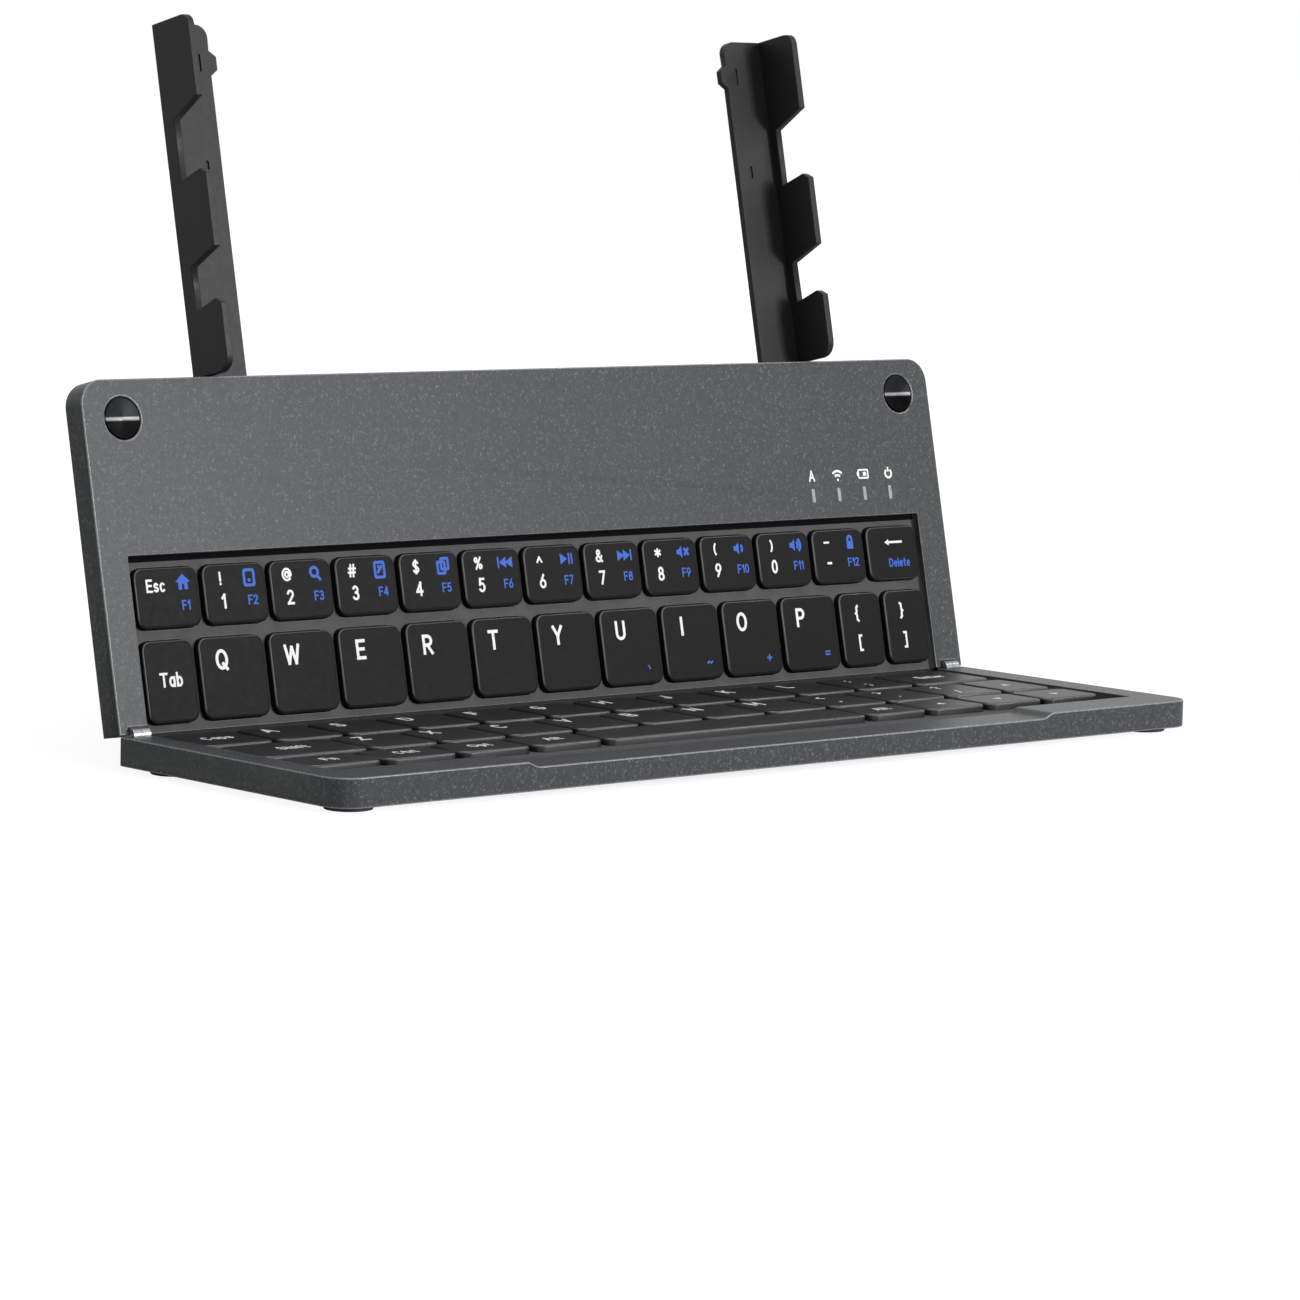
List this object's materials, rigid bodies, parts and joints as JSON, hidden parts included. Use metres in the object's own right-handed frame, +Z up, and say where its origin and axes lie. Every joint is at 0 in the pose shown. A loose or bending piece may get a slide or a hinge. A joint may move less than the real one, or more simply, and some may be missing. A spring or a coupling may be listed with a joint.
{
  "type": "folding keyboard",
  "caption": "Folding keyboard in two hinged panels, with sprung keys and two swing-up notched arms that hold a tablet.",
  "frame": {"origin": "middle of the open keyboard's footprint, on the table", "axes": "+X to the right along the hinge, +Y to the back, +Z up"},
  "size_m": [0.245, 0.1144, 0.1562],
  "materials": {
    "panel_grey": "satin",
    "cover_grey": "satin",
    "key_plastic": "matte",
    "arm_plastic": "satin",
    "steel": "satin",
    "magnet_steel": "polished",
    "foot_rubber": "matte",
    "board": "satin",
    "dome_silicone": "satin",
    "battery_foil": "satin",
    "light_plastic": "gloss",
    "housing_plastic": "matte",
    "ribbon_film": "satin"
  },
  "bodies": {
    "front_panel": {"front_frame": "panel_grey", "front_base_cover": "cover_grey", "front_key_board": "board", "front_dome_sheet": "dome_silicone", "front_feet": "foot_rubber", "front_screws": "steel", "front_magnets": "magnet_steel", "front_hinge_leaves": "steel", "hinge_pins": "steel"},
    "back_panel": {"back_frame": "panel_grey", "back_rear_cover": "cover_grey", "back_key_board": "board", "back_dome_sheet": "dome_silicone", "main_board": "board", "battery": "battery_foil", "usb_c_socket": "steel", "switch_housing": "housing_plastic", "light_pipes": "light_plastic", "back_magnets": "magnet_steel", "back_hinge_leaves": "steel", "back_feet": "foot_rubber", "back_screws": "steel", "pivot_rivets": "steel", "ribbon_cable": "ribbon_film"},
    "left_arm_body": {"left_arm": "arm_plastic"},
    "right_arm_body": {"right_arm": "arm_plastic"},
    "power_switch": {"switch_slider": "arm_plastic"},
    "key_esc_body": {"key_esc": "key_plastic"},
    "key_1_body": {"key_1": "key_plastic"},
    "key_2_body": {"key_2": "key_plastic"},
    "key_3_body": {"key_3": "key_plastic"},
    "key_4_body": {"key_4": "key_plastic"},
    "key_5_body": {"key_5": "key_plastic"},
    "key_6_body": {"key_6": "key_plastic"},
    "key_7_body": {"key_7": "key_plastic"},
    "key_8_body": {"key_8": "key_plastic"},
    "key_9_body": {"key_9": "key_plastic"},
    "key_0_body": {"key_0": "key_plastic"},
    "key_minus_body": {"key_minus": "key_plastic"},
    "key_delete_body": {"key_delete": "key_plastic"},
    "key_tab_body": {"key_tab": "key_plastic"},
    "key_q_body": {"key_q": "key_plastic"},
    "key_w_body": {"key_w": "key_plastic"},
    "key_e_body": {"key_e": "key_plastic"},
    "key_r_body": {"key_r": "key_plastic"},
    "key_t_body": {"key_t": "key_plastic"},
    "key_y_body": {"key_y": "key_plastic"},
    "key_u_body": {"key_u": "key_plastic"},
    "key_i_body": {"key_i": "key_plastic"},
    "key_o_body": {"key_o": "key_plastic"},
    "key_p_body": {"key_p": "key_plastic"},
    "key_open_bracket_body": {"key_open_bracket": "key_plastic"},
    "key_close_bracket_body": {"key_close_bracket": "key_plastic"},
    "home_row_keys_body": {"home_row_keys": "key_plastic"},
    "enter_key_body": {"enter_key": "key_plastic"},
    "shift_row_keys_body": {"shift_row_keys": "key_plastic"},
    "bottom_left_keys_body": {"bottom_left_keys": "key_plastic"},
    "space_bar_body": {"space_bar": "key_plastic"},
    "bottom_right_keys_body": {"bottom_right_keys": "key_plastic"}
  },
  "joints": [
    {"name": "lid_fold", "type": "hinge", "parent": "front_panel", "child": "back_panel", "pos_m": [0, 0.01733, 0.0074], "axis": [1, 0, 0], "range_deg": [-77.5, 102.5]},
    {"name": "left_arm_swing", "type": "hinge", "parent": "back_panel", "child": "left_arm_body", "pos_m": [-0.0816, 0.03962, 0.07467], "axis": [0, 0.9763, -0.2164], "range_deg": [0, 90]},
    {"name": "right_arm_swing", "type": "hinge", "parent": "back_panel", "child": "right_arm_body", "pos_m": [0.0816, 0.03962, 0.07467], "axis": [0, -0.9763, 0.2164], "range_deg": [0, 90]},
    {"name": "power_switch_slide", "type": "slide", "parent": "back_panel", "child": "power_switch", "axis": [0, 0.2164, 0.9763], "range_m": [0, 0.0022]},
    {"name": "key_esc_press", "type": "slide", "parent": "back_panel", "child": "key_esc_body", "axis": [0, 0.9763, -0.2164], "range_m": [0, 0.0012], "stiffness_N_per_m": 150, "springref_m": -0.002},
    {"name": "key_1_press", "type": "slide", "parent": "back_panel", "child": "key_1_body", "axis": [0, 0.9763, -0.2164], "range_m": [0, 0.0012], "stiffness_N_per_m": 150, "springref_m": -0.002},
    {"name": "key_2_press", "type": "slide", "parent": "back_panel", "child": "key_2_body", "axis": [0, 0.9763, -0.2164], "range_m": [0, 0.0012], "stiffness_N_per_m": 150, "springref_m": -0.002},
    {"name": "key_3_press", "type": "slide", "parent": "back_panel", "child": "key_3_body", "axis": [0, 0.9763, -0.2164], "range_m": [0, 0.0012], "stiffness_N_per_m": 150, "springref_m": -0.002},
    {"name": "key_4_press", "type": "slide", "parent": "back_panel", "child": "key_4_body", "axis": [0, 0.9763, -0.2164], "range_m": [0, 0.0012], "stiffness_N_per_m": 150, "springref_m": -0.002},
    {"name": "key_5_press", "type": "slide", "parent": "back_panel", "child": "key_5_body", "axis": [0, 0.9763, -0.2164], "range_m": [0, 0.0012], "stiffness_N_per_m": 150, "springref_m": -0.002},
    {"name": "key_6_press", "type": "slide", "parent": "back_panel", "child": "key_6_body", "axis": [0, 0.9763, -0.2164], "range_m": [0, 0.0012], "stiffness_N_per_m": 150, "springref_m": -0.002},
    {"name": "key_7_press", "type": "slide", "parent": "back_panel", "child": "key_7_body", "axis": [0, 0.9763, -0.2164], "range_m": [0, 0.0012], "stiffness_N_per_m": 150, "springref_m": -0.002},
    {"name": "key_8_press", "type": "slide", "parent": "back_panel", "child": "key_8_body", "axis": [0, 0.9763, -0.2164], "range_m": [0, 0.0012], "stiffness_N_per_m": 150, "springref_m": -0.002},
    {"name": "key_9_press", "type": "slide", "parent": "back_panel", "child": "key_9_body", "axis": [0, 0.9763, -0.2164], "range_m": [0, 0.0012], "stiffness_N_per_m": 150, "springref_m": -0.002},
    {"name": "key_0_press", "type": "slide", "parent": "back_panel", "child": "key_0_body", "axis": [0, 0.9763, -0.2164], "range_m": [0, 0.0012], "stiffness_N_per_m": 150, "springref_m": -0.002},
    {"name": "key_minus_press", "type": "slide", "parent": "back_panel", "child": "key_minus_body", "axis": [0, 0.9763, -0.2164], "range_m": [0, 0.0012], "stiffness_N_per_m": 150, "springref_m": -0.002},
    {"name": "key_delete_press", "type": "slide", "parent": "back_panel", "child": "key_delete_body", "axis": [0, 0.9763, -0.2164], "range_m": [0, 0.0012], "stiffness_N_per_m": 150, "springref_m": -0.002},
    {"name": "key_tab_press", "type": "slide", "parent": "back_panel", "child": "key_tab_body", "axis": [0, 0.9763, -0.2164], "range_m": [0, 0.0012], "stiffness_N_per_m": 150, "springref_m": -0.002},
    {"name": "key_q_press", "type": "slide", "parent": "back_panel", "child": "key_q_body", "axis": [0, 0.9763, -0.2164], "range_m": [0, 0.0012], "stiffness_N_per_m": 150, "springref_m": -0.002},
    {"name": "key_w_press", "type": "slide", "parent": "back_panel", "child": "key_w_body", "axis": [0, 0.9763, -0.2164], "range_m": [0, 0.0012], "stiffness_N_per_m": 150, "springref_m": -0.002},
    {"name": "key_e_press", "type": "slide", "parent": "back_panel", "child": "key_e_body", "axis": [0, 0.9763, -0.2164], "range_m": [0, 0.0012], "stiffness_N_per_m": 150, "springref_m": -0.002},
    {"name": "key_r_press", "type": "slide", "parent": "back_panel", "child": "key_r_body", "axis": [0, 0.9763, -0.2164], "range_m": [0, 0.0012], "stiffness_N_per_m": 150, "springref_m": -0.002},
    {"name": "key_t_press", "type": "slide", "parent": "back_panel", "child": "key_t_body", "axis": [0, 0.9763, -0.2164], "range_m": [0, 0.0012], "stiffness_N_per_m": 150, "springref_m": -0.002},
    {"name": "key_y_press", "type": "slide", "parent": "back_panel", "child": "key_y_body", "axis": [0, 0.9763, -0.2164], "range_m": [0, 0.0012], "stiffness_N_per_m": 150, "springref_m": -0.002},
    {"name": "key_u_press", "type": "slide", "parent": "back_panel", "child": "key_u_body", "axis": [0, 0.9763, -0.2164], "range_m": [0, 0.0012], "stiffness_N_per_m": 150, "springref_m": -0.002},
    {"name": "key_i_press", "type": "slide", "parent": "back_panel", "child": "key_i_body", "axis": [0, 0.9763, -0.2164], "range_m": [0, 0.0012], "stiffness_N_per_m": 150, "springref_m": -0.002},
    {"name": "key_o_press", "type": "slide", "parent": "back_panel", "child": "key_o_body", "axis": [0, 0.9763, -0.2164], "range_m": [0, 0.0012], "stiffness_N_per_m": 150, "springref_m": -0.002},
    {"name": "key_p_press", "type": "slide", "parent": "back_panel", "child": "key_p_body", "axis": [0, 0.9763, -0.2164], "range_m": [0, 0.0012], "stiffness_N_per_m": 150, "springref_m": -0.002},
    {"name": "key_open_bracket_press", "type": "slide", "parent": "back_panel", "child": "key_open_bracket_body", "axis": [0, 0.9763, -0.2164], "range_m": [0, 0.0012], "stiffness_N_per_m": 150, "springref_m": -0.002},
    {"name": "key_close_bracket_press", "type": "slide", "parent": "back_panel", "child": "key_close_bracket_body", "axis": [0, 0.9763, -0.2164], "range_m": [0, 0.0012], "stiffness_N_per_m": 150, "springref_m": -0.002},
    {"name": "home_row_keys_press", "type": "slide", "parent": "front_panel", "child": "home_row_keys_body", "axis": [0, 0, -1], "range_m": [0, 0.0012], "stiffness_N_per_m": 150, "springref_m": -0.002},
    {"name": "enter_key_press", "type": "slide", "parent": "front_panel", "child": "enter_key_body", "axis": [0, 0, -1], "range_m": [0, 0.0012], "stiffness_N_per_m": 150, "springref_m": -0.002},
    {"name": "shift_row_keys_press", "type": "slide", "parent": "front_panel", "child": "shift_row_keys_body", "axis": [0, 0, -1], "range_m": [0, 0.0012], "stiffness_N_per_m": 150, "springref_m": -0.002},
    {"name": "bottom_left_keys_press", "type": "slide", "parent": "front_panel", "child": "bottom_left_keys_body", "axis": [0, 0, -1], "range_m": [0, 0.0012], "stiffness_N_per_m": 150, "springref_m": -0.002},
    {"name": "space_bar_press", "type": "slide", "parent": "front_panel", "child": "space_bar_body", "axis": [0, 0, -1], "range_m": [0, 0.0012], "stiffness_N_per_m": 150, "springref_m": -0.002},
    {"name": "bottom_right_keys_press", "type": "slide", "parent": "front_panel", "child": "bottom_right_keys_body", "axis": [0, 0, -1], "range_m": [0, 0.0012], "stiffness_N_per_m": 150, "springref_m": -0.002}
  ]
}
